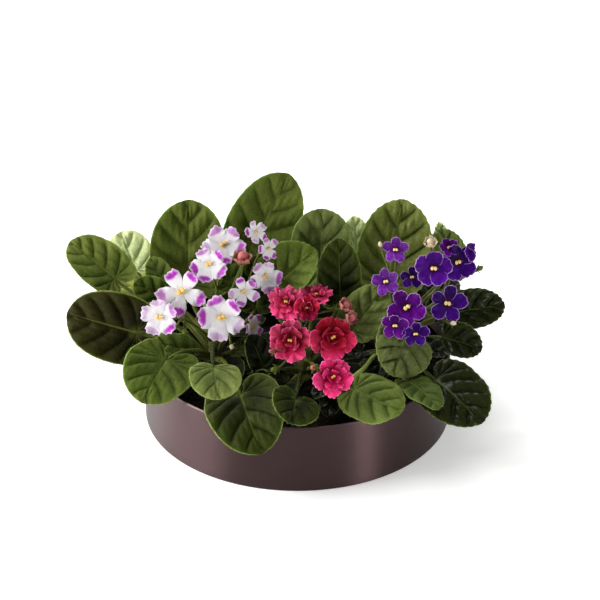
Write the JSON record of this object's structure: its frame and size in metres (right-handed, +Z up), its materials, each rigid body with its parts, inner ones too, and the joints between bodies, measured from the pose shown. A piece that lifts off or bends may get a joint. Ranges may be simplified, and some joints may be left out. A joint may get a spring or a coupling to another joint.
{
  "type": "potted african violets",
  "caption": "Low round dish planted with african violets: broad velvety leaves on petioles, single and double blooms on stalks above them.",
  "frame": {"origin": "centre of the dish's flat underside", "axes": "+Z up, +X to the right of the pictured view, -Y toward its viewer"},
  "size_m": [0.3303, 0.2469, 0.17],
  "materials": {
    "dish": "satin warm brown-grey, soft streaked reflections",
    "soil": "dark damp potting soil, matte and crumbly",
    "stems": "green fleshy stalks with fine hairs",
    "leaves_left": "velvety olive green, pale backlit margin",
    "leaves_centre": "velvety fresh green",
    "leaves_right": "quilted dark green with a soft sheen",
    "petals_white": "white petals with magenta-purple tips and yellow anthers",
    "petals_purple": "deep violet petals with a thin pale rim and yellow anthers",
    "petals_pink": "crimson pink ruffled double petals with lighter margins"
  },
  "bodies": {
    "root": {"dish": "dish", "soil": "soil", "stems_left": "stems", "stems_centre": "stems", "stems_right": "stems", "leaf_rear_left": "leaves_left", "leaf_rear_left_low": "leaves_left", "leaf_rear_left_high": "leaves_left", "leaf_rear_centre": "leaves_centre", "leaf_rear_centre_low": "leaves_centre", "leaf_rear_right_low": "leaves_right", "leaf_rear_right_side": "leaves_right", "leaf_rear_right_high": "leaves_right", "leaf_right_pale": "leaves_right", "leaf_right_olive": "leaves_right", "leaf_centre_pale": "leaves_centre", "leaf_left_pale": "leaves_left", "leaf_left_tall": "leaves_left", "leaf_left_upright": "leaves_left", "leaf_centre_top": "leaves_centre", "leaf_right_top": "leaves_right", "leaf_left_small_high": "leaves_left", "leaf_left_small_low": "leaves_left", "leaf_left_side_high": "leaves_left", "leaf_centre_left": "leaves_centre", "leaf_centre_middle": "leaves_centre", "leaf_centre_right": "leaves_centre", "leaf_left_side_dark": "leaves_left", "leaf_right_side": "leaves_right", "leaf_right_side_low": "leaves_right", "leaf_right_big": "leaves_right", "leaf_front_low": "leaves_right", "leaf_front_big": "leaves_left", "leaf_front_heart": "leaves_left", "leaf_front_round": "leaves_left", "leaf_centre_heart": "leaves_centre", "leaf_right_bright": "leaves_right", "leaf_right_front": "leaves_right", "leaf_centre_front": "leaves_centre", "bloom_white_front_left": "petals_white", "bloom_white_star": "petals_white", "bloom_white_upper_left": "petals_white", "bloom_white_top": "petals_white", "bloom_white_inner": "petals_white", "bloom_white_right": "petals_white", "bloom_white_back_pair": "petals_white", "bloom_white_big": "petals_white", "bloom_white_low_side": "petals_white", "bloom_purple_right_cluster": "petals_purple", "bloom_purple_top_left": "petals_purple", "bloom_purple_left": "petals_purple", "bloom_purple_inner": "petals_purple", "bloom_purple_top": "petals_purple", "bloom_purple_right": "petals_purple", "bloom_purple_middle": "petals_purple", "bloom_purple_low_pair": "petals_purple", "bloom_pink_back": "petals_pink", "bloom_pink_left": "petals_pink", "bloom_pink_right": "petals_pink", "bloom_pink_low": "petals_pink"}
  },
  "joints": []
}
